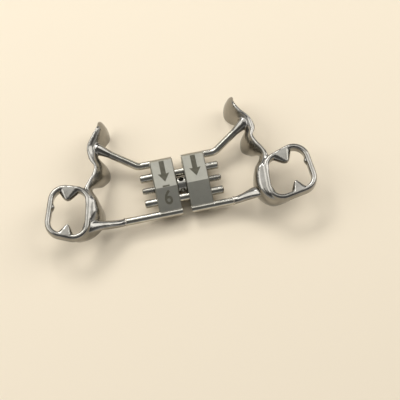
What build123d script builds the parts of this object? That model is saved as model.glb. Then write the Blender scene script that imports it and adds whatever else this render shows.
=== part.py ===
from build123d import *
import os
from math import radians, tan

# A palatal expander, biting side up, in millimetres. The origin is on the spindle's axis, in the
# middle of its head; +X runs to the right half, +Y to the front teeth and +Z away from the palate.

# Whole appliance: from the middle of one molar to the other
molar_distance = 40.6

# Jackscrew body halves
half_width = 4.2
half_length = 10.2
half_height = 3.3
crease_place = -0.5
rear_drop = 0.85
edge_chamfer = 0.3
side_chamfer = 0.15

# Spindle
spindle_diameter = 1.3
spindle_play = 0.03
head_width = 1.66
head_diameter = 2.9
head_play = 0.04
head_edge = 0.15
key_hole_diameter = 1.0
key_hole_turn = -23

# Guide pins
pin_diameter = 1.5
pin_offset = 2.5
pin_play = 0.03
stub_length = 2.3
tip_chamfer = 0.15

# Wire arms, welded in grooves along the front and rear faces of the halves
wire_diameter = 1.4
bend_radius = 1.8
bend_run = 2.2

# Molar rings, with rest fingers at the front and the back and a ridge in the cheek groove
ring_wall = 0.85
ring_corner = 3.0
ring_top = 4.2
ring_height = 2.1
ring_taper = 2
rim_chamfer = 0.22
finger_thickness = 1.1
front_finger_depth = 1.9
front_finger_width = 3.4
rear_finger_depth = 1.7
rear_finger_width = 2.4
ridge_place = 0.55
ridge_depth = 0.4
ridge_width = 1.6
tip_round = 0.4

# Strips: plate, rail and pads, with a stub for the rear arm and a collar for the front arm
strip_thickness = 0.8
strip_bulge = 0.13
edge_ridge = 0.25
steps_between = 2
tangent_step = 0.1
tongue_facets = 4
tooth_facets = 2
seat_depth = 0.6
stub_root_diameter = 1.9
collar_wall = 0.25
collar_diameter = 2.5
collar_length = 1.6

# Each side frame is fitted to its own teeth, so the two differ. Its places are measured from the
# middle of the molars, outwards on both sides. A ring has four corners before rounding: front cheek,
# rear cheek, rear tongue and front tongue. The front finger's place is a share of the way along its
# side from the cheek, the rear finger's from the tongue. A strip station is a point on the biting edge
# and the one under it on the gum edge, from the tip of the canine pad to the plate's end. A seat is
# where an arm or a stub runs into the strip, counted in stations from the first one.
right_side = {
    "ring": ((3.2, 3.3), (4.1, -6.9), (-5.9, -8.7), (-5.3, 0.4)),
    "fingers": (0.58, 0.62),
    "arm_end": (-6.7, 8.9, 1.9),
    "arm_seat": 3.36,
    "weld_reach": 8.7,
    "stub_root": (-5.7, -5.2, 0.6),
    "stub_seat": 11.0,
    "strip": (
        ((-7.9, 14.6, 2.1), (-8.1, 14.8, 1.5)),
        ((-8.1, 12.7, 3.4), (-9.2, 14.2, -1.0)),
        ((-7.3, 10.9, 3.6), (-9.6, 12.3, -1.8)),
        ((-5.9, 9.1, 3.5), (-8.8, 10.3, -0.8)),
        ((-5.6, 7.4, 3.4), (-6.7, 7.9, 1.3)),
        ((-6.15, 5.7, 3.4), (-7.7, 6.6, -1.4)),
        ((-5.6, 3.9, 3.6), (-7.8, 4.7, -1.9)),
        ((-4.8, 2.4, 3.7), (-6.5, 3.1, -0.7)),
        ((-4.6, 1.2, 3.8), (-5.2, 1.9, 1.2)),
        ((-5.1, -0.6, 3.9), (-6.3, -0.2, -1.3)),
        ((-5.55, -3.0, 3.9), (-7.2, -2.8, -1.8)),
        ((-5.65, -5.3, 3.9), (-6.9, -5.5, -0.8)),
        ((-4.1, -7.7, 3.8), (-4.7, -7.7, -0.1)),
        ((-1.3, -7.7, 3.8), (-1.4, -7.9, 2.0)),
    ),
}
left_side = {
    "ring": ((3.2, 3.7), (6.1, -5.5), (-1.6, -9.0), (-4.1, 1.35)),
    "fingers": (0.45, 0.54),
    "arm_end": (-6.3, 9.4, 1.9),
    "arm_seat": 3.16,
    "weld_reach": 11.5,
    "stub_root": (-3.0, -4.7, 1.7),
    "stub_seat": 10.85,
    "strip": (
        ((-7.8, 14.7, 2.0), (-8.0, 14.9, 1.5)),
        ((-7.4, 13.0, 3.4), (-8.9, 14.0, -1.0)),
        ((-6.1, 11.2, 3.6), (-8.9, 12.2, -1.8)),
        ((-4.9, 9.3, 3.5), (-7.7, 10.2, -0.2)),
        ((-5.1, 7.4, 3.4), (-6.2, 8.0, 1.6)),
        ((-5.6, 5.7, 3.4), (-7.6, 6.4, -1.4)),
        ((-5.0, 3.9, 3.6), (-7.6, 4.4, -1.9)),
        ((-3.9, 2.5, 3.7), (-6.0, 2.7, -0.6)),
        ((-3.3, 1.3, 3.8), (-4.0, 1.8, 1.2)),
        ((-3.45, -0.5, 3.9), (-4.5, 0.0, -1.3)),
        ((-3.1, -2.8, 3.9), (-5.4, -2.2, -1.8)),
        ((-2.5, -5.1, 3.9), (-4.7, -5.1, -0.6)),
        ((-1.2, -7.1, 3.8), (-2.2, -7.1, 0.3)),
        ((0.6, -7.9, 3.8), (0.5, -8.0, 2.3)),
    ),
}

# Derived places
gap = head_width + 2 * head_play
half_outer = gap / 2 + half_width
pin_length = 2 * (half_outer + stub_length)
wire_place = half_length / 2


def bar_along_x(diameter, length):
    """A round bar along X, centred on the origin."""
    return Rot(0, 90, 0) * Cylinder(diameter / 2, length)


def guide_pin(place):
    """A guide pin with chamfered ends, at its place along Y."""
    pin = bar_along_x(pin_diameter, pin_length)
    pin = chamfer(pin.edges().filter_by(GeomType.CIRCLE), tip_chamfer)
    return Pos(0, place, 0) * pin


def double_spindle():
    """The spindle: a bar threaded from both ends, and a head with two crossed key holes."""
    bar = bar_along_x(spindle_diameter, pin_length)
    bar = chamfer(bar.edges().filter_by(GeomType.CIRCLE), tip_chamfer)
    head = bar_along_x(head_diameter, head_width)
    head = chamfer(head.edges().filter_by(GeomType.CIRCLE), head_edge)
    spindle = bar + head
    for turn in (key_hole_turn, key_hole_turn + 90):
        spindle -= Rot(turn, 0, 0) * Cylinder(key_hole_diameter / 2, 2 * head_diameter)
    return spindle


def placed(point):
    """A place on a side frame, in the part's own frame."""
    return Vector(molar_distance / 2, 0, 0) + Vector(*point)


def arm_corner():
    """Where the front arm's two straight runs would meet."""
    return Vector(half_outer + bend_run, wire_place, 0)


def arm_direction(side):
    """The direction of the front arm's outer run."""
    return (placed(side["arm_end"]) - arm_corner()).normalized()


def front_arm(side):
    """A front arm: along the half's front face, then bent up and out to the frame."""
    start, corner, end = Vector(gap / 2, wire_place, 0), arm_corner(), placed(side["arm_end"])
    along, outward = Vector(1, 0, 0), arm_direction(side)
    setback = bend_radius * tan(radians(along.get_angle(outward)) / 2)
    arc_start, arc_end = corner - along * setback, corner + outward * setback
    path = Line(start, arc_start) + TangentArc(arc_start, arc_end, tangent=along) + Line(arc_end, end)
    return sweep(Plane(start, z_dir=along) * Circle(wire_diameter / 2), path=path)


def rear_arm(side):
    """A rear arm: along the half's rear face and straight out to its weld on the frame's stub."""
    length = side["weld_reach"] - gap / 2
    return Pos(gap / 2 + length / 2, -wire_place, 0) * bar_along_x(wire_diameter, length)


def body_half(arms):
    """A body half: a block with a level front and a sloping rear top, three bores and two arm grooves."""
    front, top = half_length / 2, half_height / 2
    upper = (front, top), (crease_place, top), (-front, top - rear_drop)
    profile = Polyline((front, -top), *upper, (-front, -top), close=True)
    half = extrude(Plane.YZ.offset(gap / 2) * make_face(profile), half_width)
    long_edges = half.edges().filter_by(Axis.X).sort_by(Axis.Y)
    half = chamfer(long_edges[:2] + long_edges[-2:], edge_chamfer)
    half = chamfer([e for face in half.faces().filter_by(Axis.X) for e in face.edges()], side_chamfer)
    for place in (-pin_offset, pin_offset):
        half -= Pos(0, place, 0) * bar_along_x(pin_diameter + 2 * pin_play, 2 * pin_length)
    half -= bar_along_x(spindle_diameter + 2 * spindle_play, 2 * pin_length)
    for arm in arms:
        half -= arm
    return half


def wedge(start, end, share, depth, width):
    """A rounded wedge that reaches into the ring, at a share of the way along one of its sides."""
    along = (end - start).normalized()
    inward = Vector(-along.Y, along.X)
    base = start + (end - start) * share + inward * ring_wall
    tip = base + inward * depth
    flank = along * (width / 2)
    root = inward * -ring_wall / 2
    outline = make_face(Polyline(base - flank + root, base + flank + root, tip, close=True))
    return fillet(outline.vertices().sort_by_distance(tip)[:1], tip_round)


def molar_ring(side):
    """The ring round the molar: a band, open through, with rest fingers and a ridge on its rim."""
    corners = [placed(corner) for corner in side["ring"]]
    front_cheek, rear_cheek, rear_tongue, front_tongue = corners
    outline = fillet(make_face(Polyline(*corners, close=True)).vertices(), ring_corner)
    inside = offset(outline, amount=-ring_wall)
    front_place, rear_place = side["fingers"]
    opening = inside - wedge(front_cheek, front_tongue, front_place, front_finger_depth, front_finger_width)
    opening -= wedge(rear_tongue, rear_cheek, rear_place, rear_finger_depth, rear_finger_width)
    opening -= wedge(rear_cheek, front_cheek, ridge_place, ridge_depth, ridge_width)
    ring = extrude(outline, -ring_height, taper=-ring_taper)
    ring -= Pos(0, 0, -finger_thickness) * extrude(inside, -ring_height)
    ring -= extrude(opening, ring_height, both=True)
    ring = chamfer(ring.edges().group_by(Axis.Z)[-1], rim_chamfer)
    return Pos(0, 0, ring_top) * ring


def between(points, place):
    """A point on the smooth curve through the points, at a place counted from the first of them."""
    first, last = 0, len(points) - 1
    index = min(max(int(place), first), last - 1)
    share = place - index
    a, b, c, d = (points[min(max(index + k, first), last)] for k in (-1, 0, 1, 2))
    return (
        b * 2 + (c - a) * share + (a * 2 - b * 5 + c * 4 - d) * share**2 + (b * 3 - a - c * 3 + d) * share**3
    ) * 0.5


def crescent_point(top, low, bulge, share):
    """A point a share of the way down the bulging face of the strip."""
    return top + (low - top) * share + bulge * (4 * share * (1 - share))


def strip_edges(side, place):
    """The strip's biting edge, gum edge and tongue direction, at a place counted in stations."""
    tops = [placed(top) for top, low in side["strip"]]
    lows = [placed(low) for top, low in side["strip"]]
    top, low = between(tops, place), between(lows, place)
    ahead = between(tops, place + tangent_step) - between(tops, place - tangent_step)
    down = (low - top).normalized()
    tongue = Vector(ahead.Y, -ahead.X, 0)
    return top, low, (tongue - down * tongue.dot(down)).normalized()


def strip_section(top, low, tongue):
    """A crescent across the strip, from the biting edge to the gum edge, with ridged edges."""
    down = (low - top).normalized()
    bulge = tongue * ((low - top).length * strip_bulge)
    outer = [crescent_point(top, low, bulge, k / tongue_facets) for k in range(tongue_facets + 1)]
    inner = [crescent_point(top, low, bulge, k / tooth_facets) for k in range(tooth_facets + 1)]
    back = tongue * -strip_thickness
    ridge = down * edge_ridge
    outline = Polyline(
        *outer,
        low + back * 0.5 + ridge,
        *[point + back for point in reversed(inner)],
        top + back * 0.5 - ridge,
        close=True,
    )
    return make_face(outline)


def pad_strip(side):
    """The ribbon on the tongue side: canine pad, rail, molar pad, and the plate under the ring."""
    spans = len(side["strip"]) - 1
    places = [k / steps_between for k in range(spans * steps_between + 1)]
    return loft([strip_section(*strip_edges(side, place)) for place in places], ruled=True)


def tongue_side(solid, side, seat):
    """What is left of a solid that runs into the strip, cut off inside the strip's wall."""
    top, low, tongue = strip_edges(side, side[seat])
    bulge = tongue * ((low - top).length * strip_bulge)
    wall = crescent_point(top, low, bulge, 0.5) - tongue * (strip_thickness * seat_depth)
    return split(solid, Plane(wall, z_dir=tongue), keep=Keep.TOP)


def arm_stub(side):
    """The frame's own stub: a cone from its root on the plate to the weld on the rear arm."""
    root = placed(side["stub_root"])
    weld = Vector(side["weld_reach"], -wire_place, 0)
    reach = weld - root
    cone = Plane(root, z_dir=reach) * Cone(
        stub_root_diameter / 2,
        wire_diameter / 2,
        reach.length + wire_diameter,
        align=(Align.CENTER, Align.CENTER, Align.MIN),
    )
    stub = split(cone, Plane.YZ.offset(side["weld_reach"]), keep=Keep.TOP)
    return tongue_side(stub, side, "stub_seat")


def arm_collar(side):
    """The flared collar that takes the end of the front arm."""
    outward = arm_direction(side)
    collar = Plane(placed(side["arm_end"]), z_dir=outward) * Cone(
        wire_diameter / 2 + collar_wall, collar_diameter / 2, collar_length
    )
    return tongue_side(collar, side, "arm_seat")


def side_frame(side, arm):
    """A side frame, made in one piece, with a seat for the front arm."""
    return molar_ring(side) + pad_strip(side) + arm_stub(side) + arm_collar(side) - arm


nodes = {
    "spindle": double_spindle(),
    "guide_pin_front": guide_pin(pin_offset),
    "guide_pin_rear": guide_pin(-pin_offset),
}
for name, side in (("right", right_side), ("left", left_side)):
    bent, straight = tongue_side(front_arm(side), side, "arm_seat"), rear_arm(side)
    pieces = {
        "body_half": body_half((bent, straight)),
        "front_arm": bent,
        "rear_arm": straight,
        "frame": side_frame(side, bent),
    }
    for piece, solid in pieces.items():
        nodes[f"{piece}_{name}"] = mirror(solid, about=Plane.YZ) if name == "left" else solid

os.makedirs("parts", exist_ok=True)
for name, solid in nodes.items():
    export_step(solid, f"parts/{name}.step")
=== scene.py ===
"""A palatal expander of satin steel and polished alloy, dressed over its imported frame."""

from __future__ import annotations

import logging
import math
from dataclasses import astuple, dataclass
from enum import Enum

import bpy
import numpy as np
from bpy.types import Material, Mesh, Node, NodeSocket, NodeTree, Object
from mathutils import Matrix, Vector

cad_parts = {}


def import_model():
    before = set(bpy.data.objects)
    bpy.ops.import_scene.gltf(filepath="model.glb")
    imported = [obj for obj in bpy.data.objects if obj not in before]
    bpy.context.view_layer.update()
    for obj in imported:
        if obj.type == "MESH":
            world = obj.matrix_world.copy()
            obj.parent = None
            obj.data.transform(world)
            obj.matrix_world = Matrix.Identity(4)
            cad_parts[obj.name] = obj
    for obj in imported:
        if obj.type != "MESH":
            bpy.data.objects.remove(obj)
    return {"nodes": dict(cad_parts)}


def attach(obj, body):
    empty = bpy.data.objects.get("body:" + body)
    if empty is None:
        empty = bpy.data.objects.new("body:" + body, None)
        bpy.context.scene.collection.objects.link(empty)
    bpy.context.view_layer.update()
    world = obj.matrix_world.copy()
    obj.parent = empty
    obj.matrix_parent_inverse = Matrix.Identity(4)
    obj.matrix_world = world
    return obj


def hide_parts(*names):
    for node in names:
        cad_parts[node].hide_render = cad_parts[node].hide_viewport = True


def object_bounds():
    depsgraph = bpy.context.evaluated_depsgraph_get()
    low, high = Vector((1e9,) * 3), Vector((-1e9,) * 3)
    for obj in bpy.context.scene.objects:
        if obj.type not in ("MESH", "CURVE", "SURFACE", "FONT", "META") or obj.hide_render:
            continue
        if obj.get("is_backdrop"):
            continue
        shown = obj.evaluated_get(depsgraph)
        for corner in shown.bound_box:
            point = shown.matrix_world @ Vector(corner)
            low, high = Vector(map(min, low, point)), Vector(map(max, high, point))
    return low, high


MM = 0.001
LOG = logging.getLogger("expander")
Colour = tuple[float, float, float]
Flat = tuple[float, float]
Place = tuple[float, float, float]


class Side(Enum):
    """Which half of the appliance a piece belongs to; the value is the sign of its X."""

    RIGHT = 1
    LEFT = -1

    @property
    def word(self) -> str:
        """The side's name as the nodes spell it."""
        return self.name.lower()

    @property
    def body(self) -> str:
        """The moving body on this side."""
        return f"{self.word}_half"


@dataclass
class Shell:
    """A closed mesh in millimetres, before it becomes a piece."""

    points: list[Vector]
    faces: list[tuple[int, ...]]

    @classmethod
    def loft(cls, sections: list[list[Vector]], closed: bool = False) -> "Shell":
        """Joins sections of equal length into one skin.

        Args:
            sections: Closed loops of points, in order.
            closed: Whether the last section joins the first; otherwise both ends are capped.

        Returns:
            The lofted shell.
        """
        count = len(sections[0])
        points = [point for section in sections for point in section]
        faces: list[tuple[int, ...]] = []
        for i in range(len(sections) if closed else len(sections) - 1):
            a, b = i * count, (i + 1) % len(sections) * count
            faces += [(a + k, a + (k + 1) % count, b + (k + 1) % count, b + k) for k in range(count)]
        if not closed:
            faces.append(tuple(reversed(range(count))))
            faces.append(tuple(range(len(points) - count, len(points))))
        return cls(points, faces)

    @classmethod
    def joined(cls, shells: list["Shell"]) -> "Shell":
        """Puts several shells into one, without welding them.

        Args:
            shells: The shells.

        Returns:
            One shell that holds them all.
        """
        points: list[Vector] = []
        faces: list[tuple[int, ...]] = []
        for shell in shells:
            start = len(points)
            points += shell.points
            faces += [tuple(start + k for k in face) for face in shell.faces]
        return cls(points, faces)

    def mirrored(self, side: Side) -> "Shell":
        """Puts a shell that was drawn for the right on its own side of the midline.

        Args:
            side: The side that it belongs to.

        Returns:
            The shell, with its faces still turned outwards.
        """
        points = [Vector((side.value * p.x, p.y, p.z)) for p in self.points]
        faces = self.faces if side is Side.RIGHT else [tuple(reversed(face)) for face in self.faces]
        return Shell(points, faces)

    def mesh(self, name: str, scale: float = MM) -> Mesh:
        """Makes the shell a Blender mesh.

        Args:
            name: The mesh's name.
            scale: The size of a millimetre in it; metres unless another scale is given.

        Returns:
            The new mesh.
        """
        mesh = bpy.data.meshes.new(name)
        mesh.from_pydata([point * scale for point in self.points], [], self.faces)
        mesh.validate()
        return mesh


def add_piece(mesh: Mesh, body: str, material: Material, sharp: float | None = None) -> Object:
    """Turns a mesh into a shown piece of the same name that rides on a body.

    Args:
        mesh: The mesh, in metres.
        body: The body that it moves with.
        material: The finish that it has all over.
        sharp: The angle in degrees above which an edge stays sharp, or None to leave the shading.

    Returns:
        The new object.
    """
    if sharp is not None:
        mesh.shade_smooth()
        mesh.set_sharp_from_angle(angle=math.radians(sharp))
    mesh.materials.append(material)
    piece = bpy.data.objects.new(mesh.name, mesh)
    bpy.context.scene.collection.objects.link(piece)
    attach(piece, body)
    LOG.info("piece %s: %d faces on %s", piece.name, len(mesh.polygons), body)
    return piece


def paint_node(node: Object, material: Material) -> None:
    """Gives a carried-over solid one finish, through its own material slots.

    Args:
        node: The solid.
        material: Its finish.
    """
    for slot in node.material_slots:
        slot.material = material
    LOG.info("solid %s: %s", node.name, material.name)


def rounded(corners: list[Vector], radius: float, steps: int, depth: float = 0.0) -> list[Vector]:
    """Rounds the corners of a flat convex outline.

    Args:
        corners: The corners in order.
        radius: The radius of every corner.
        steps: How many chords each corner's arc gets.
        depth: How far inside the rounded outline the points lie.

    Returns:
        The points in order.
    """
    outline: list[Vector] = []
    for i, corner in enumerate(corners):
        back = (corners[i - 1] - corner).normalized()
        ahead = (corners[(i + 1) % len(corners)] - corner).normalized()
        half = back.angle(ahead) / 2
        centre = corner + (back + ahead).normalized() * (radius / math.sin(half))
        first = corner + back * (radius / math.tan(half)) - centre
        last = corner + ahead * (radius / math.tan(half)) - centre
        sweep = math.pi - 2 * half
        for k in range(steps + 1):
            share = k / steps
            arm = first * math.sin((1 - share) * sweep) + last * math.sin(share * sweep)
            outline.append(centre + arm * ((1 - depth / radius) / math.sin(sweep)))
    return outline


def between(points: list[Vector], place: float) -> Vector:
    """Finds a point on the smooth curve through given points.

    Args:
        points: The points in order.
        place: Where along the curve; whole numbers are the points themselves.

    Returns:
        The point.
    """
    index = min(int(place), len(points) - 2)
    share = place - index
    last = len(points) - 1
    a, b, c, d = (points[min(max(index + k, 0), last)] for k in (-1, 0, 1, 2))
    slope = c - a
    bend = a * 2 - b * 5 + c * 4 - d
    twist = b * 3 - a - c * 3 + d
    return (b * 2 + slope * share + bend * share**2 + twist * share**3) / 2


def ease(share: float) -> float:
    """A share from 0 to 1, slowed at both ends."""
    return share * share * (3 - 2 * share)


def ease_slope(share: float) -> float:
    """How fast the eased share grows at a share."""
    return 6 * share * (1 - share)


def oval(centre: Vector, wide: Vector, tall: Vector, count: int) -> list[Vector]:
    """The points of an ellipse in space, from its centre and its two half axes."""
    turns = [2 * math.pi * k / count for k in range(count)]
    return [centre + wide * math.cos(turn) + tall * math.sin(turn) for turn in turns]


def relax(points: np.ndarray, edges: np.ndarray, rounds: int, press: float, swell: float) -> np.ndarray:
    """Smooths a mesh by averaging neighbours, and swells it back so that it keeps its size.

    Args:
        points: The vertices, one row each.
        edges: Pairs of vertex numbers.
        rounds: How often the pair of passes runs.
        press: How far a vertex moves to its neighbours' average.
        swell: How far it moves back afterwards.

    Returns:
        The smoothed vertices.
    """
    first, second = edges[:, 0], edges[:, 1]
    size = len(points)
    degree = np.bincount(first, minlength=size) + np.bincount(second, minlength=size)
    for _ in range(rounds):
        for pull in (press, -swell):
            mean = np.stack(
                [
                    np.bincount(first, weights=points[second, k], minlength=size)
                    + np.bincount(second, weights=points[first, k], minlength=size)
                    for k in range(3)
                ],
                axis=1,
            ) / degree[:, None]
            points = points + pull * (mean - points)
    return points


@dataclass(frozen=True)
class Casting:
    """How overlapping shells run together into one polished skin."""

    voxel: float = 0.09
    soften_rounds: int = 8
    keep_rounds: int = 40
    press: float = 0.5
    swell: float = 0.52

    def skin(self, shells: list[Shell], name: str) -> Mesh:
        """Runs shells together.

        Args:
            shells: Overlapping closed shells.
            name: The new mesh's name.

        Returns:
            One smooth mesh, in metres.
        """
        rough = bpy.data.objects.new("rough_casting", Shell.joined(shells).mesh("rough_casting", 1.0))
        bpy.context.scene.collection.objects.link(rough)
        remesh = rough.modifiers.new("skin", "REMESH")
        remesh.mode = "VOXEL"
        remesh.voxel_size = self.voxel
        depsgraph = bpy.context.evaluated_depsgraph_get()
        mesh = bpy.data.meshes.new_from_object(rough.evaluated_get(depsgraph))
        bpy.data.objects.remove(rough)
        points = np.empty(3 * len(mesh.vertices))
        mesh.vertices.foreach_get("co", points)
        edges = np.empty(2 * len(mesh.edges), dtype=np.int64)
        mesh.edges.foreach_get("vertices", edges)
        edges = edges.reshape(-1, 2)
        points = relax(points.reshape(-1, 3), edges, self.soften_rounds, self.press, 0.0)
        points = relax(points, edges, self.keep_rounds, self.press, self.swell)
        mesh.vertices.foreach_set("co", (points * MM).ravel())
        mesh.update()
        mesh.shade_smooth()
        mesh.name = name
        return mesh


def span_node(tree: NodeTree, taken: Flat, given: Flat = (0.0, 1.0), smooth: bool = True) -> Node:
    """Adds a node that maps one span of values to another.

    Args:
        tree: The nodes that it joins.
        taken: The span that it maps.
        given: The span that it maps to.
        smooth: Whether it eases at both ends.

    Returns:
        The new node.
    """
    node = tree.nodes.new("ShaderNodeMapRange")
    node.interpolation_type = "SMOOTHSTEP" if smooth else "LINEAR"
    for name, value in zip(("From Min", "From Max", "To Min", "To Max"), taken + given):
        node.inputs[name].default_value = value
    return node


class Effects:
    """The shader effects that the finishes share, each built once as a node group."""

    def __init__(self) -> None:
        """Builds the fine lines, drawn out along the axis that has the fewest, and the soft patches."""
        self.grain = self._noise("grain_lines", detail=3.0, roughness=0.6)
        self.patches = self._noise("soft_patches", detail=2.0, roughness=0.5, span=(0.3, 0.7))

    @staticmethod
    def _noise(name: str, detail: float, roughness: float, span: Flat | None = None) -> NodeTree:
        """Builds a noise in the surface's own coordinates.

        Args:
            name: The group's name.
            detail: How many finer noises lie over it.
            roughness: How strong those are.
            span: The values that become 0 and 1, or None to leave them.

        Returns:
            The group, which takes how many lines or patches a metre has along each axis.
        """
        tree = bpy.data.node_groups.new(name, "ShaderNodeTree")
        tree.interface.new_socket(name="Per Metre", in_out="INPUT", socket_type="NodeSocketVector")
        tree.interface.new_socket(name="Height", in_out="OUTPUT", socket_type="NodeSocketFloat")
        start = tree.nodes.new("NodeGroupInput")
        end = tree.nodes.new("NodeGroupOutput")
        where = tree.nodes.new("ShaderNodeTexCoord")
        spread = tree.nodes.new("ShaderNodeVectorMath")
        spread.operation = "MULTIPLY"
        noise = tree.nodes.new("ShaderNodeTexNoise")
        noise.inputs["Scale"].default_value = 1.0
        noise.inputs["Detail"].default_value = detail
        noise.inputs["Roughness"].default_value = roughness
        tree.links.new(where.outputs["Object"], spread.inputs[0])
        tree.links.new(start.outputs["Per Metre"], spread.inputs[1])
        tree.links.new(spread.outputs["Vector"], noise.inputs["Vector"])
        height = noise.outputs["Fac"]
        if span is not None:
            firm = span_node(tree, span)
            tree.links.new(height, firm.inputs["Value"])
            height = firm.outputs["Result"]
        tree.links.new(height, end.inputs["Height"])
        return tree


@dataclass(frozen=True)
class MetalFinish:
    """A metal surface: two close colours in patches, fine lines and a soft waviness."""

    name: str
    colour: Colour
    second_colour: Colour
    roughness: Flat
    lines_per_mm: Place
    line_depth: float
    patch_size: float
    wave_size: float
    wave_depth: float
    metallic: float = 1.0
    line_span: Flat = (0.25, 0.75)

    def material(self, effects: Effects) -> Material:
        """Builds the finish.

        Args:
            effects: The shared shader effects.

        Returns:
            The new material.
        """
        material = bpy.data.materials.new(self.name)
        material.use_nodes = True
        tree = material.node_tree
        shader = tree.nodes["Principled BSDF"]
        shader.inputs["Metallic"].default_value = self.metallic
        lines = self._effect(tree, effects.grain, self.lines_per_mm)
        patches = self._effect(tree, effects.patches, (1 / self.patch_size,) * 3)
        waves = self._effect(tree, effects.patches, (1 / self.wave_size,) * 3)

        tint = tree.nodes.new("ShaderNodeMix")
        tint.data_type = "RGBA"
        tint.inputs["A"].default_value = (*self.colour, 1)
        tint.inputs["B"].default_value = (*self.second_colour, 1)
        tree.links.new(patches, tint.inputs["Factor"])
        tree.links.new(tint.outputs["Result"], shader.inputs["Base Color"])

        dull = span_node(tree, self.line_span, self.roughness, smooth=False)
        tree.links.new(lines, dull.inputs["Value"])
        tree.links.new(dull.outputs["Result"], shader.inputs["Roughness"])

        swell = self._bump(tree, waves, self.wave_depth)
        score = self._bump(tree, lines, self.line_depth)
        tree.links.new(swell.outputs["Normal"], score.inputs["Normal"])
        tree.links.new(score.outputs["Normal"], shader.inputs["Normal"])
        return material

    @staticmethod
    def _effect(tree: NodeTree, group: NodeTree, per_mm: Place) -> NodeSocket:
        """Places a shared effect in a material.

        Args:
            tree: The material's nodes.
            group: The effect.
            per_mm: How many of its lines or patches a millimetre has along each axis.

        Returns:
            The effect's height, from 0 to 1.
        """
        node = tree.nodes.new("ShaderNodeGroup")
        node.node_tree = group
        node.inputs["Per Metre"].default_value = [count / MM for count in per_mm]
        return node.outputs["Height"]

    @staticmethod
    def _bump(tree: NodeTree, height: NodeSocket, depth: float) -> Node:
        """Turns a height into a normal.

        Args:
            tree: The material's nodes.
            height: The height, from 0 to 1.
            depth: What a height of 1 is in millimetres.

        Returns:
            The bump's node.
        """
        bump = tree.nodes.new("ShaderNodeBump")
        bump.inputs["Distance"].default_value = depth * MM
        tree.links.new(height, bump.inputs["Height"])
        return bump


SATIN_STEEL = MetalFinish(
    name="satin_steel",
    colour=(0.335, 0.325, 0.274),
    second_colour=(0.308, 0.30, 0.257),
    roughness=(0.26, 0.38),
    lines_per_mm=(2.0, 22.0, 22.0),
    line_depth=0.0012,
    patch_size=1.6,
    wave_size=2.5,
    wave_depth=0.004,
)
DRAWN_WIRE = MetalFinish(
    name="drawn_wire",
    colour=(0.52, 0.50, 0.44),
    second_colour=(0.43, 0.41, 0.35),
    roughness=(0.13, 0.24),
    lines_per_mm=(1.2, 14.0, 14.0),
    line_depth=0.001,
    patch_size=1.8,
    wave_size=1.4,
    wave_depth=0.006,
)
TURNED_STEEL = MetalFinish(
    name="turned_steel",
    colour=(0.46, 0.445, 0.40),
    second_colour=(0.36, 0.345, 0.30),
    roughness=(0.17, 0.30),
    lines_per_mm=(18.0, 1.5, 1.5),
    line_depth=0.0015,
    patch_size=1.2,
    wave_size=1.2,
    wave_depth=0.003,
)
POLISHED_ALLOY = MetalFinish(
    name="polished_alloy",
    colour=(0.33, 0.315, 0.285),
    second_colour=(0.25, 0.238, 0.21),
    roughness=(0.14, 0.24),
    lines_per_mm=(5.0, 5.0, 5.0),
    line_depth=0.0004,
    patch_size=2.4,
    wave_size=1.6,
    wave_depth=0.02,
)
WELD_METAL = MetalFinish(
    name="weld_metal",
    colour=(0.66, 0.63, 0.57),
    second_colour=(0.44, 0.40, 0.34),
    roughness=(0.18, 0.34),
    lines_per_mm=(8.0, 8.0, 8.0),
    line_depth=0.003,
    patch_size=0.5,
    wave_size=0.4,
    wave_depth=0.01,
)
BURNT_MARK = MetalFinish(
    name="burnt_mark",
    colour=(0.073, 0.069, 0.046),
    second_colour=(0.095, 0.087, 0.062),
    roughness=(0.42, 0.58),
    lines_per_mm=(16.0, 16.0, 16.0),
    line_depth=0.002,
    patch_size=0.6,
    wave_size=1.0,
    wave_depth=0.002,
    metallic=0.55,
)


@dataclass(frozen=True)
class FaceShape:
    """The ribbon's tongue face at one place along it, counted in stations.

    The bulge is a share of the ribbon's height, a shoulder under 1 moves it up to the biting edge,
    and a merge of 1 lets that edge run into the ring.
    """

    place: float
    bulge: float
    shoulder: float = 1.0
    thickness: float = 0.55
    merge: float = 0.0

    def eased(self, other: "FaceShape", place: float, share: float) -> "FaceShape":
        """The shape a share of the way to another one, for a place between the two."""
        pairs = zip(astuple(self)[1:], astuple(other)[1:])
        return FaceShape(place, *(a + (b - a) * share for a, b in pairs))


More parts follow.
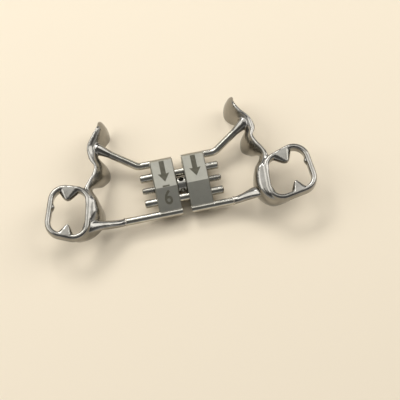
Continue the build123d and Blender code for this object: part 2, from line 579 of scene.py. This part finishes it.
@dataclass(frozen=True)
class SideFrame:
    """One polished side frame: a ring round the molar, a ribbon with two pads, a stub and a collar."""

    side: Side
    ring: tuple[Flat, Flat, Flat, Flat]
    fingers: Flat
    arm_end: Place
    arm_seat: float
    weld_reach: float
    fan: tuple[Place, Place]
    face: tuple[FaceShape, ...]
    strip: tuple[tuple[Place, Place], ...]
    ring_line: float = 20.3
    ring_wall: float = 1.0
    ring_corner: float = 3.0
    ring_corner_steps: int = 20
    ring_top: float = 4.2
    ring_height: float = 2.1
    ring_taper: float = 2.0
    rim_round: float = 0.42
    rim_steps: int = 5
    front_finger: Flat = (1.9, 4.4)
    rear_finger: Flat = (1.7, 3.2)
    finger_thickness: float = 1.1
    finger_fall: float = 0.15
    lobe_steps: int = 32
    lobe_levels: int = 10
    lobe_fullness: float = 0.72
    lobe_crown: float = 0.78
    ridge: Flat = (0.32, 1.8)
    ridge_place: float = 0.55
    ridge_sink: float = 0.3
    merge_rise: float = 0.12
    merge_depth: float = 0.4
    edge_reach: float = 0.18
    edge_probe: float = 0.1
    end_run: float = 0.3
    end_size: float = 0.4
    seat_depth: float = 0.6
    steps_between: int = 14
    section_steps: int = 18
    edge_steps: int = 6
    wire_radius: float = 0.7
    blade_half: float = 0.5
    fan_spread: float = 2.1
    collar_swell: float = 0.55
    collar_length: float = 3.8
    collar_back: float = 0.74
    collar_turn: float = 0.72
    collar_tip: float = 0.05
    sweep_steps: int = 24
    round_steps: int = 40
    arm_corner: Place = (7.27, 5.1, 0.0)
    rear_place: float = -5.1
    casting: Casting = Casting()

    def placed(self, place: Place | Flat) -> Vector:
        """A place measured from the molars' middle, in the part's frame."""
        return Vector((self.ring_line + place[0], place[1], place[2] if len(place) > 2 else 0.0))

    def ring_band(self) -> Shell:
        """Sweeps the ring's section round the middle of its wall.

        Returns:
            The band of the ring, with rounded rims.
        """
        corners = [self.placed(corner) for corner in self.ring]
        middle = sum(corners, Vector()) / len(corners)
        half_wall, half_height = self.ring_wall / 2, self.ring_height / 2
        path = rounded(corners, self.ring_corner, self.ring_corner_steps, half_wall)
        core = [Vector((x * half_wall, z * half_height, 0)) for x, z in ((1, 1), (1, -1), (-1, -1), (-1, 1))]
        profile = rounded(core, self.rim_round, self.rim_steps)
        flare = math.tan(math.radians(self.ring_taper))
        height = self.ring_top - half_height
        sections = []
        for i, point in enumerate(path):
            along = (path[(i + 1) % len(path)] - path[i - 1]).normalized()
            out = Vector((along.y, -along.x, 0))
            out = out if out.dot(point - middle) > 0 else -out
            section = []
            for spot in profile:
                aside = spot.x + (half_height - spot.y) * flare
                section.append(point + out * aside + Vector((0, 0, height + spot.y)))
            sections.append(section)
        return Shell.loft(sections, closed=True)

    def spur(
        self, start: Vector, end: Vector, share: float, depth: float, width: float, sink: float = 0.0
    ) -> Shell:
        """A spur that reaches in from one side of the ring.

        Args:
            start: The corner where the side starts.
            end: The corner where it ends.
            share: How far along the side the spur is.
            depth: How far it reaches past the wall.
            width: How wide it is at the wall.
            sink: How far its top lies below the rim.

        Returns:
            The spur, a crowned lobe that falls towards its tip.
        """
        along = (end - start).normalized()
        inward = Vector((-along.y, along.x, 0))
        base = start.lerp(end, share) + inward * self.ring_wall
        loop = []
        for k in range(self.lobe_steps + 1):
            across = 2 * k / self.lobe_steps - 1
            swell = (0.5 + 0.5 * math.cos(math.pi * across)) ** self.lobe_fullness
            loop.append((width / 2 * across, depth * swell))
        loop += [(width / 2, -self.ring_wall / 2), (-width / 2, -self.ring_wall / 2)]
        low = self.ring_top - sink - self.finger_thickness
        sections = []
        for k in range(self.lobe_levels + 1):
            rise = k / self.lobe_levels
            narrow = math.sqrt(1 - self.lobe_crown * rise * rise)
            section = []
            for aside, reach in loop:
                spot = base + along * (aside * narrow) + inward * reach
                height = self.finger_thickness - self.finger_fall * max(0.0, reach) / depth
                section.append(Vector((spot.x, spot.y, low + height * rise)))
            sections.append(section)
        return Shell.loft(sections)

    def spurs(self) -> list[Shell]:
        """Places the spurs in the ring.

        Returns:
            The two rest fingers and the ridge in the cheek side.
        """
        front_cheek, rear_cheek, rear_tongue, front_tongue = (self.placed(corner) for corner in self.ring)
        front_place, rear_place = self.fingers
        return [
            self.spur(front_cheek, front_tongue, front_place, *self.front_finger),
            self.spur(rear_tongue, rear_cheek, rear_place, *self.rear_finger),
            self.spur(rear_cheek, front_cheek, self.ridge_place, *self.ridge, self.ridge_sink),
        ]

    def shape_at(self, place: float) -> FaceShape:
        """Finds the shape of the ribbon's face, eased from each given place to the next one.

        Args:
            place: The station's number, or a number between two stations.

        Returns:
            The face's shape there.
        """
        after = next((i for i, shape in enumerate(self.face) if shape.place > place), len(self.face) - 1)
        start, end = self.face[max(after - 1, 0)], self.face[after]
        share = min(1.0, (place - start.place) / (end.place - start.place))
        return start.eased(end, place, ease(share))

    def edges(self, place: float) -> tuple[Vector, Vector, Vector]:
        """The ribbon's edges at a place along it.

        Args:
            place: The station's number, or a number between two stations.

        Returns:
            The point on the biting edge, the one on the gum edge, and the direction to the tongue.
        """
        tops = [self.placed(top) for top, low in self.strip]
        lows = [self.placed(low) for top, low in self.strip]
        end = len(tops) - 1
        top, low = between(tops, place), between(lows, place)
        after, before = min(place + self.edge_probe, end), max(place - self.edge_probe, 0.0)
        ahead = between(tops, after) - between(tops, before)
        level = Vector((ahead.y, -ahead.x, 0)).normalized()
        merge = self.shape_at(place).merge
        top = top + (Vector((0, 0, self.merge_rise)) - level * self.merge_depth) * merge
        down = (low - top).normalized()
        return top, low, (level - down * level.dot(down)).normalized()

    def bulge(self, place: float, share: float) -> float:
        """How far the ribbon's face stands out from its chord.

        Args:
            place: Where along the ribbon it is asked for.
            share: How far down from the biting edge to the gum edge.

        Returns:
            The bulge, which is fullest near the biting edge where the shoulder is less than 1.
        """
        top, low, _ = self.edges(place)
        shape = self.shape_at(place)
        fall = share**shape.shoulder
        return (low - top).length * shape.bulge * 4 * fall * (1 - fall)

    def strip_section(self, place: float) -> list[Vector]:
        """A crescent across the ribbon, with round edges, drawn in towards both ends of the ribbon.

        Args:
            place: Where along the ribbon the section is.

        Returns:
            The closed section.
        """
        top, low, tongue = self.edges(place)
        down = (low - top).normalized()
        back = tongue * -self.shape_at(place).thickness
        shares = [k / self.section_steps for k in range(self.section_steps + 1)]
        outer = [top.lerp(low, share) + tongue * self.bulge(place, share) for share in shares]
        inner = [point + back for point in reversed(outer)]
        turns = [math.pi * k / self.edge_steps for k in range(1, self.edge_steps)]
        reach = [down * (self.edge_reach * math.sin(turn)) for turn in turns]
        low_edge = [low + back * (1 - math.cos(t)) / 2 + past for t, past in zip(turns, reach)]
        top_edge = [top + back * (1 + math.cos(t)) / 2 - past for t, past in zip(turns, reach)]
        middle = top.lerp(low, 0.5) + back / 2
        near = min(place, len(self.strip) - 1 - place) / self.end_run
        draw = 1.0 if near >= 1 else self.end_size + (1 - self.end_size) * math.sqrt(near * (2 - near))
        return [middle.lerp(point, draw) for point in outer + low_edge + inner + top_edge]

    def ribbon(self) -> Shell:
        """The ribbon on the tongue side: canine pad, rail, premolar pad and the plate under the ring."""
        count = (len(self.strip) - 1) * self.steps_between
        return Shell.loft([self.strip_section(k / self.steps_between) for k in range(count + 1)])

    def tongue_side(self, shell: Shell, seat: float) -> Shell:
        """Flattens what runs into the ribbon, so that it ends inside the ribbon's wall.

        Args:
            shell: A shell that runs into the ribbon.
            seat: Where along the ribbon it does so.

        Returns:
            The shell, with nothing past the wall.
        """
        top, low, tongue = self.edges(seat)
        depth = self.shape_at(seat).thickness * self.seat_depth
        wall = top.lerp(low, 0.5) + tongue * (self.bulge(seat, 0.5) - depth)
        points = [point - tongue * min(0.0, (point - wall).dot(tongue)) for point in shell.points]
        return Shell(points, shell.faces)

    def stub(self) -> Shell:
        """Sweeps the stub that meets the rear arm, from the weld to its root.

        Returns:
            The stub, round at the weld and fanned out into a blade where it meets the plate and the ring.
        """
        weld = Vector((self.weld_reach, self.rear_place, 0))
        front, rear = (self.placed(end) for end in self.fan)
        root = front.lerp(rear, 0.5)
        level, blade = Vector((0, 1, 0)), (front - rear).normalized()
        half = (front - rear).length / 2
        sections = []
        for k in range(self.sweep_steps + 1):
            share = k / self.sweep_steps
            spread = share**self.fan_spread
            heart = weld.lerp(root, share)
            heart.z = root.z * ease(share)
            ahead = Vector((root.x - weld.x, root.y - weld.y, root.z * ease_slope(share)))
            across = level.lerp(blade, spread).normalized()
            rise = ahead.cross(across).normalized()
            wide = self.wire_radius + (half - self.wire_radius) * spread
            tall = self.wire_radius + (self.blade_half - self.wire_radius) * spread
            sections.append(oval(heart, across * wide, rise * tall, self.round_steps))
        return Shell.loft(sections)

    def collar(self) -> Shell:
        """Sweeps the swelling where the front arm runs into the ribbon.

        Returns:
            The swelling, which ends inside the ribbon's wall.
        """
        end = self.placed(self.arm_end)
        out = (end - Vector(self.arm_corner)).normalized()
        turn = out.to_track_quat("Z", "Y")
        wide, tall = turn @ Vector((1, 0, 0)), turn @ Vector((0, 1, 0))
        sections = []
        for k in range(self.sweep_steps + 1):
            share = k / self.sweep_steps
            radius = self.wire_radius + self.collar_swell * ease(share)
            if share > self.collar_turn:
                past = (share - self.collar_turn) / (1 - self.collar_turn)
                radius *= math.sqrt(max(self.collar_tip, 1 - past * past))
            heart = end + out * (self.collar_length * (share - self.collar_back))
            sections.append(oval(heart, wide * radius, tall * radius, self.round_steps))
        return self.tongue_side(Shell.loft(sections), self.arm_seat)

    def build(self, material: Material) -> None:
        """Makes the frame's skin in place of its plain solid.

        Args:
            material: The frame's finish.
        """
        shells = [self.ring_band(), *self.spurs(), self.ribbon(), self.stub(), self.collar()]
        name = f"polished_frame_{self.side.word}"
        mesh = self.casting.skin([shell.mirrored(self.side) for shell in shells], name)
        piece = add_piece(mesh, self.side.body, material)
        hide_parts(f"frame_{self.side.word}")

    def weld(self, material: Material) -> None:
        """Makes the rippled bead where the rear arm is welded to the stub."""
        bead = WeldBead(Vector((self.weld_reach, self.rear_place, 0)), self.wire_radius)
        bead.build(f"weld_bead_{self.side.word}", self.side, "frame", material)


@dataclass(frozen=True)
class WeldBead:
    """A bead of weld metal round a wire that runs along X."""

    centre: Vector
    wire_radius: float
    thickness: float = 0.15
    spread: float = 1.25
    bite: float = 0.02
    ripples: int = 9
    ripple_depth: float = 0.28
    drift: float = 0.06
    drift_waves: int = 3
    drift_phase: float = 0.7
    end_share: float = 0.06
    end_fullness: float = 0.35
    steps: int = 108
    section_steps: int = 12
    sharp: float = 60.0
    first_turn: float = 0.0
    last_turn: float = 2 * math.pi

    def shell(self) -> Shell:
        """Sweeps the bead round the wire.

        Returns:
            A ring or an arc, with ripples where each pulse of the weld set.
        """
        closed = math.isclose(self.last_turn - self.first_turn, 2 * math.pi)
        count = self.steps if closed else self.steps + 1
        sections = []
        for k in range(count):
            turn = self.first_turn + (self.last_turn - self.first_turn) * k / self.steps
            ripple = abs(math.sin(turn * self.ripples / 2))
            drift = self.drift * math.sin(self.drift_waves * turn + self.drift_phase)
            thick = self.thickness * (1 - self.ripple_depth + self.ripple_depth * ripple)
            if not closed:
                share = min(max(k / self.steps, self.end_share), 1 - self.end_share)
                thick *= math.sin(math.pi * share) ** self.end_fullness
            out = Vector((0, math.cos(turn), math.sin(turn)))
            heart = self.centre + out * (self.wire_radius - self.bite) + Vector((drift, 0, 0))
            along = Vector((self.spread * thick, 0, 0))
            sections.append(oval(heart, along, out * thick, self.section_steps))
        return Shell.loft(sections, closed)

    def build(self, name: str, side: Side, slot: str, material: Material) -> None:
        """Makes the bead a piece on its own side of the midline."""
        add_piece(self.shell().mirrored(side).mesh(name), side.body, material, self.sharp)


NECK_FACES = (
    FaceShape(4.0, bulge=0.10, shoulder=0.9, thickness=0.80),
    FaceShape(5.0, bulge=0.08),
    FaceShape(7.0, bulge=0.08),
    FaceShape(8.4, bulge=0.13, shoulder=0.8, thickness=0.80),
)
END_FACE = FaceShape(12.3, bulge=0.07, shoulder=0.9, thickness=0.80)
RIGHT_FRAME = SideFrame(
    side=Side.RIGHT,
    ring=((3.2, 3.3), (4.1, -6.9), (-5.9, -8.7), (-5.3, 0.4)),
    fingers=(0.58, 0.62),
    arm_end=(-6.7, 8.9, 1.9),
    arm_seat=3.36,
    weld_reach=8.7,
    fan=((-7.2, -3.9, 1.5), (-5.15, -6.1, 3.2)),
    face=(
        FaceShape(0.0, bulge=0.08),
        FaceShape(3.0, bulge=0.08),
        *NECK_FACES,
        FaceShape(9.3, bulge=0.25, shoulder=0.5, thickness=0.65, merge=1.0),
        FaceShape(11.2, bulge=0.25, shoulder=0.5, thickness=0.65, merge=1.0),
        END_FACE,
    ),
    strip=(
        ((-7.9, 14.6, 2.1), (-8.1, 14.8, 1.5)),
        ((-8.1, 12.7, 3.4), (-9.2, 14.2, -1.0)),
        ((-7.3, 10.9, 3.6), (-9.6, 12.3, -1.8)),
        ((-5.9, 9.1, 3.5), (-8.8, 10.3, -0.8)),
        ((-5.6, 7.4, 3.4), (-6.7, 7.9, 1.3)),
        ((-6.15, 5.7, 3.4), (-7.7, 6.6, -1.4)),
        ((-5.6, 3.9, 3.6), (-7.8, 4.7, -1.9)),
        ((-4.8, 2.4, 3.7), (-6.5, 3.1, -0.7)),
        ((-4.6, 1.2, 3.8), (-5.2, 1.9, 1.2)),
        ((-5.1, -0.6, 3.9), (-6.3, -0.2, -1.3)),
        ((-5.55, -3.0, 3.9), (-7.2, -2.8, -1.8)),
        ((-5.65, -5.3, 3.9), (-6.9, -5.5, -0.8)),
        ((-4.1, -7.7, 3.8), (-4.7, -7.7, -0.1)),
        ((-1.3, -7.7, 3.8), (-1.4, -7.9, 2.0)),
    ),
)
LEFT_FRAME = SideFrame(
    side=Side.LEFT,
    ring=((3.2, 3.7), (6.1, -5.5), (-1.6, -9.0), (-4.1, 1.35)),
    fingers=(0.45, 0.54),
    arm_end=(-6.3, 9.4, 1.9),
    arm_seat=3.16,
    weld_reach=11.5,
    fan=((-2.1, -4.6, 3.4), (-1.0, -7.1, 3.15)),
    face=(
        FaceShape(0.0, bulge=0.10, shoulder=0.8),
        FaceShape(3.0, bulge=0.10, shoulder=0.8),
        *NECK_FACES,
        FaceShape(9.2, bulge=0.20, shoulder=0.55, thickness=0.65, merge=1.0),
        FaceShape(10.0, bulge=0.20, shoulder=0.55, thickness=0.65, merge=1.0),
        FaceShape(11.4, bulge=0.08, shoulder=0.8, thickness=0.65, merge=1.0),
        END_FACE,
    ),
    strip=(
        ((-7.8, 14.7, 2.0), (-8.0, 14.9, 1.5)),
        ((-7.4, 13.0, 3.4), (-8.9, 14.0, -1.0)),
        ((-6.1, 11.2, 3.6), (-8.9, 12.2, -1.8)),
        ((-4.9, 9.3, 3.5), (-7.7, 10.2, -0.2)),
        ((-5.1, 7.4, 3.4), (-6.2, 8.0, 1.6)),
        ((-5.6, 5.7, 3.4), (-7.6, 6.4, -1.4)),
        ((-5.0, 3.9, 3.6), (-7.6, 4.4, -1.9)),
        ((-3.9, 2.5, 3.7), (-6.0, 2.7, -0.6)),
        ((-3.3, 1.3, 3.8), (-4.0, 1.8, 1.2)),
        ((-3.45, -0.5, 3.9), (-4.5, 0.0, -1.3)),
        ((-3.1, -2.8, 3.9), (-5.4, -2.2, -1.8)),
        ((-2.5, -5.1, 3.9), (-4.7, -5.1, -0.6)),
        ((-1.2, -7.1, 3.8), (-2.2, -7.1, 0.3)),
        ((0.6, -7.9, 3.8), (0.5, -8.0, 2.3)),
    ),
)


@dataclass(frozen=True)
class Spindle:
    """The double-threaded spindle: the solid's own head, and bars with opposite threads."""

    radius: float = 0.65
    root_radius: float = 0.53
    pitch: float = 0.4
    ridge_width: float = 0.34
    crest_width: float = 0.07
    crest_gap: float = 0.005
    base_sink: float = 0.05
    head_half: float = 0.83
    head_margin: float = 0.02
    bar_margin: float = 0.01
    thread_start: float = 1.0
    thread_end: float = 7.12
    steps_per_turn: int = 28
    lead_steps: int = 14
    sharp: float = 32.0

    def thread(self, side: Side) -> Shell:
        """One thread; the two sides have opposite hands, so that one turn parts both halves.

        Args:
            side: The side that the thread is on.

        Returns:
            The ridge of the thread.
        """
        turns = (self.thread_end - self.thread_start) / self.pitch
        count = int(turns * self.steps_per_turn)
        sections = []
        for k in range(count + 1):
            place = self.thread_start + (self.thread_end - self.thread_start) * k / count
            angle = -2 * math.pi * k / self.steps_per_turn
            lead = min(1.0, k / self.lead_steps, (count - k) / self.lead_steps)
            crest = self.root_radius + (self.radius - self.crest_gap - self.root_radius) * lead
            out = Vector((0, math.cos(angle), math.sin(angle)))
            base = self.root_radius - self.base_sink
            section = []
            for offset, reach in (
                (-self.ridge_width / 2, base),
                (-self.crest_width / 2, crest),
                (self.crest_width / 2, crest),
                (self.ridge_width / 2, base),
            ):
                section.append(Vector((place + offset, 0, 0)) + out * reach)
            sections.append(section)
        return Shell.loft(sections).mirrored(side)

    def build(self, node: Object, material: Material) -> None:
        """Makes the threaded spindle in place of its plain solid.

        Args:
            node: The plain solid.
            material: The spindle's finish.
        """
        points = [vertex.co / MM for vertex in node.data.vertices]
        for point in points:
            past_head = abs(point.x) > self.head_half - self.head_margin
            if past_head and math.hypot(point.y, point.z) < self.radius + self.bar_margin:
                point.yz = point.yz * (self.root_radius / self.radius)
        core = Shell(points, [tuple(face.vertices) for face in node.data.polygons])
        shell = Shell.joined([core, self.thread(Side.RIGHT), self.thread(Side.LEFT)])
        piece = add_piece(shell.mesh("threaded_spindle"), "spindle", material, self.sharp)
        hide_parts("spindle")


@dataclass(frozen=True)
class BodyHalf:
    """A body half's burnt marks and the welds of its arms."""

    side: Side
    half_outer: float = 5.07
    top: float = 1.65
    crease_place: float = -0.5
    slope_fall: float = 0.85
    slope_run: float = 4.6
    mark_middle: float = 2.95
    mark_lift: float = 0.006
    mark_depth: float = 0.012
    shaft_half: float = 0.47
    shaft_start: float = 4.7
    shaft_end: float = 2.12
    head_half: float = 1.08
    head_start: float = 2.2
    head_tip: float = 0.55
    dash_half: float = 0.64
    dash_span: Flat = (-0.46, -0.14)
    digit_text: str = "6"
    digit_height: float = 2.75
    digit_narrow: float = 0.86
    digit_middle: float = -1.95
    digit_weight: float = 0.02
    digit_steps: int = 12
    wire_radius: float = 0.7
    wire_place: float = 5.1
    weld_gap: float = 0.02
    weld_thickness: float = 0.11
    weld_overlap: float = 0.25

    def _flat_mark(self, name: str, outline: list[Flat], material: Material) -> None:
        """Makes a mark on the flat part of the top, a thin plate of burnt metal.

        Args:
            name: The piece's name.
            outline: Its corners in order, measured from the marks' middle line.
            material: Its finish.
        """
        middle = self.side.value * self.mark_middle
        levels = (self.top + self.mark_lift - self.mark_depth, self.top + self.mark_lift)
        sections = [[Vector((middle + x, y, z)) for x, y in outline] for z in levels]
        add_piece(Shell.loft(sections).mesh(name), self.side.body, material)

    def arrow(self, material: Material) -> None:
        """Makes the arrow that shows which way the key is pushed.

        Args:
            material: The mark's finish.
        """
        half = [
            (self.shaft_half, self.shaft_start),
            (self.shaft_half, self.shaft_end),
            (self.head_half, self.head_start),
            (0.0, self.head_tip),
        ]
        outline = half + [(-x, y) for x, y in reversed(half[:-1])]
        self._flat_mark(f"arrow_mark_{self.side.word}", outline[::-1], material)

    def on_slope(self, across: float, along: float, lift: float) -> Vector:
        """A point on the sloping rear part of the top.

        Args:
            across: Distance from the marks' middle line.
            along: Distance from the crease, negative to the rear.
            lift: Height above the slope.

        Returns:
            The point in the part's frame.
        """
        tilt = math.atan2(self.slope_fall, self.slope_run)
        y = self.crease_place + along * math.cos(tilt) - lift * math.sin(tilt)
        z = self.top + along * math.sin(tilt) + lift * math.cos(tilt)
        return Vector((self.side.value * self.mark_middle + across, y, z))

    def dash_mark(self, material: Material) -> None:
        """Makes the short line over the number.

        Args:
            material: The mark's finish.
        """
        low, high = self.dash_span
        half = self.dash_half
        outline = [(-half, low), (half, low), (half, high), (-half, high)]
        self._flat_mark("dash_mark", outline, material)

    def digit(self, material: Material) -> None:
        """Makes the number of millimetres that the screw opens.

        Args:
            material: The mark's finish.
        """
        words = bpy.data.curves.new("number_mark", "FONT")
        words.body = self.digit_text
        words.extrude = self.mark_depth / 2
        words.offset = self.digit_weight
        words.resolution_u = self.digit_steps
        holder = bpy.data.objects.new("number_mark", words)
        mesh = bpy.data.meshes.new_from_object(holder)
        mesh.name = "number_mark"
        bpy.data.objects.remove(holder)
        ys = [vertex.co.y for vertex in mesh.vertices]
        xs = [vertex.co.x for vertex in mesh.vertices]
        size = self.digit_height / (max(ys) - min(ys))
        middle = Vector(((max(xs) + min(xs)) / 2, (max(ys) + min(ys)) / 2, 0))
        for vertex in mesh.vertices:
            spot = (vertex.co - middle) * size
            across, along = spot.x * self.digit_narrow, self.digit_middle + spot.y
            lift = self.mark_lift if vertex.co.z > 0 else self.mark_lift - self.mark_depth
            vertex.co = self.on_slope(across, along, lift) * MM
        mesh.update()
        add_piece(mesh, self.side.body, material)

    def arm_welds(self, material: Material) -> None:
        """Makes the beads where the arms leave their grooves.

        Args:
            material: The beads' finish.
        """
        for word, place in (("front", self.wire_place), ("rear", -self.wire_place)):
            first = math.pi / 2 if place > 0 else -math.pi / 2
            bead = WeldBead(
                Vector((self.half_outer + self.weld_gap, place, 0)),
                self.wire_radius,
                thickness=self.weld_thickness,
                first_turn=first - self.weld_overlap,
                last_turn=first + math.pi + self.weld_overlap,
            )
            bead.build(f"arm_weld_{word}_{self.side.word}", self.side, "wire", material)


@dataclass(frozen=True)
class Lamp:
    """A soft lamp that faces the part; place and size are in metres, and a radiance of 1 is white."""

    name: str
    place: Place
    size: Flat
    radiance: float

    def hang(self) -> None:
        """Puts the lamp into the scene."""
        width, height = self.size
        data = bpy.data.lights.new(self.name, "AREA")
        data.shape = "RECTANGLE"
        data.size, data.size_y = width, height
        data.energy = self.radiance * math.pi * width * height
        lamp = bpy.data.objects.new(self.name, data)
        lamp.location = self.place
        lamp.rotation_euler = Vector(self.place).to_track_quat("Z", "Y").to_euler()
        lamp.visible_camera = False
        bpy.context.scene.collection.objects.link(lamp)


@dataclass(frozen=True)
class Studio:
    """The pale floor, the soft light and the camera."""

    azimuth: float = -12.0
    elevation: float = 70.0
    distance: float = 201.83
    aim: Place = (0.0, 0.0, 1.6)
    aim_shift: Flat = (3.376, -3.422)
    focal_pixels: float = 1100.0
    image_pixels: float = 400.0
    sensor: float = 36.0
    nearest: float = 0.005
    floor_size: float = 1.2
    floor_colour: Colour = (0.86, 0.755, 0.59)
    floor_roughness: float = 0.9
    floor_gloss: float = 0.1
    sky_shades: Flat = (0.85, 0.15)
    sky_fall: Flat = (0.08, 0.5)
    lamps: tuple[Lamp, ...] = (
        Lamp("top_panel", (0.03, 0.15, 0.37), (0.40, 0.21), radiance=1.25),
        Lamp("front_key", (-0.10, 0.36, 0.34), (0.28, 0.12), radiance=9.6),
        Lamp("left_strip", (-0.31, 0.10, 0.30), (0.34, 0.34), radiance=2.4),
        Lamp("right_strip", (0.32, 0.10, 0.29), (0.24, 0.34), radiance=2.6),
    )

    def camera(self) -> None:
        """Sets up the camera at the photograph's angle."""
        turn, tilt = math.radians(self.azimuth), math.radians(self.elevation)
        back = Vector((math.sin(turn) * math.cos(tilt), -math.cos(turn) * math.cos(tilt), math.sin(tilt)))
        right = Vector((math.cos(turn), math.sin(turn), 0))
        up = back.cross(right)
        eye = Vector(self.aim) + back * self.distance + right * self.aim_shift[0] + up * self.aim_shift[1]
        data = bpy.data.cameras.new("camera")
        data.sensor_width = self.sensor
        data.lens = self.sensor * self.focal_pixels / self.image_pixels
        data.clip_start = self.nearest
        camera = bpy.data.objects.new("camera", data)
        axes = Matrix((right, up, back)).transposed().to_4x4()
        camera.matrix_world = Matrix.Translation(eye * MM) @ axes
        bpy.context.scene.collection.objects.link(camera)
        bpy.context.scene.camera = camera

    def floor(self, height: float) -> None:
        """Lays the floor under the lowest point of the part.

        Args:
            height: The floor's height in metres.
        """
        half = self.floor_size / 2
        corners = [(-half, -half, height), (half, -half, height), (half, half, height), (-half, half, height)]
        mesh = bpy.data.meshes.new("floor")
        mesh.from_pydata(corners, [], [(0, 1, 2, 3)])
        floor = bpy.data.objects.new("floor", mesh)
        bpy.context.scene.collection.objects.link(floor)
        material = bpy.data.materials.new("pale_floor")
        material.use_nodes = True
        shader = material.node_tree.nodes["Principled BSDF"]
        shader.inputs["Base Color"].default_value = (*self.floor_colour, 1)
        shader.inputs["Roughness"].default_value = self.floor_roughness
        shader.inputs["Specular IOR Level"].default_value = self.floor_gloss
        mesh.materials.append(material)
        floor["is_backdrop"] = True

    def sky(self) -> None:
        """Sets up a plain sky that is pale low down and dark overhead."""
        world = bpy.data.worlds.new("studio")
        world.use_nodes = True
        tree = world.node_tree
        where = tree.nodes.new("ShaderNodeTexCoord")
        split = tree.nodes.new("ShaderNodeSeparateXYZ")
        fall = span_node(tree, self.sky_fall, self.sky_shades)
        tree.links.new(where.outputs["Generated"], split.inputs["Vector"])
        tree.links.new(split.outputs["Z"], fall.inputs["Value"])
        tree.links.new(fall.outputs["Result"], tree.nodes["Background"].inputs["Color"])
        bpy.context.scene.world = world

    def build(self, height: float) -> None:
        """Sets up the camera, the floor and the light.

        Args:
            height: The floor's height in metres.
        """
        self.camera()
        self.floor(height)
        self.sky()
        for lamp in self.lamps:
            lamp.hang()
        bpy.context.scene.view_settings.view_transform = "Standard"


def main() -> None:
    """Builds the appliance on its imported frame."""
    logging.basicConfig(level=logging.INFO, format="%(name)s: %(message)s")
    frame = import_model()
    solid_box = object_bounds()
    nodes = frame["nodes"]
    effects = Effects()
    satin, wire = SATIN_STEEL.material(effects), DRAWN_WIRE.material(effects)
    turned, polished = TURNED_STEEL.material(effects), POLISHED_ALLOY.material(effects)
    weld, burnt = WELD_METAL.material(effects), BURNT_MARK.material(effects)

    for name in ("guide_pin_front", "guide_pin_rear"):
        paint_node(nodes[name], wire)
    Spindle().build(nodes["spindle"], turned)
    for part in (RIGHT_FRAME, LEFT_FRAME):
        word = part.side.word
        paint_node(nodes[f"body_half_{word}"], satin)
        paint_node(nodes[f"front_arm_{word}"], wire)
        paint_node(nodes[f"rear_arm_{word}"], wire)
        part.build(polished)
        part.weld(weld)
        half = BodyHalf(part.side)
        half.arrow(burnt)
        half.arm_welds(weld)
        if part.side is Side.LEFT:
            half.dash_mark(burnt)
            half.digit(burnt)

    Studio().build(solid_box[0][2])


if __name__ == "__main__":
    main()
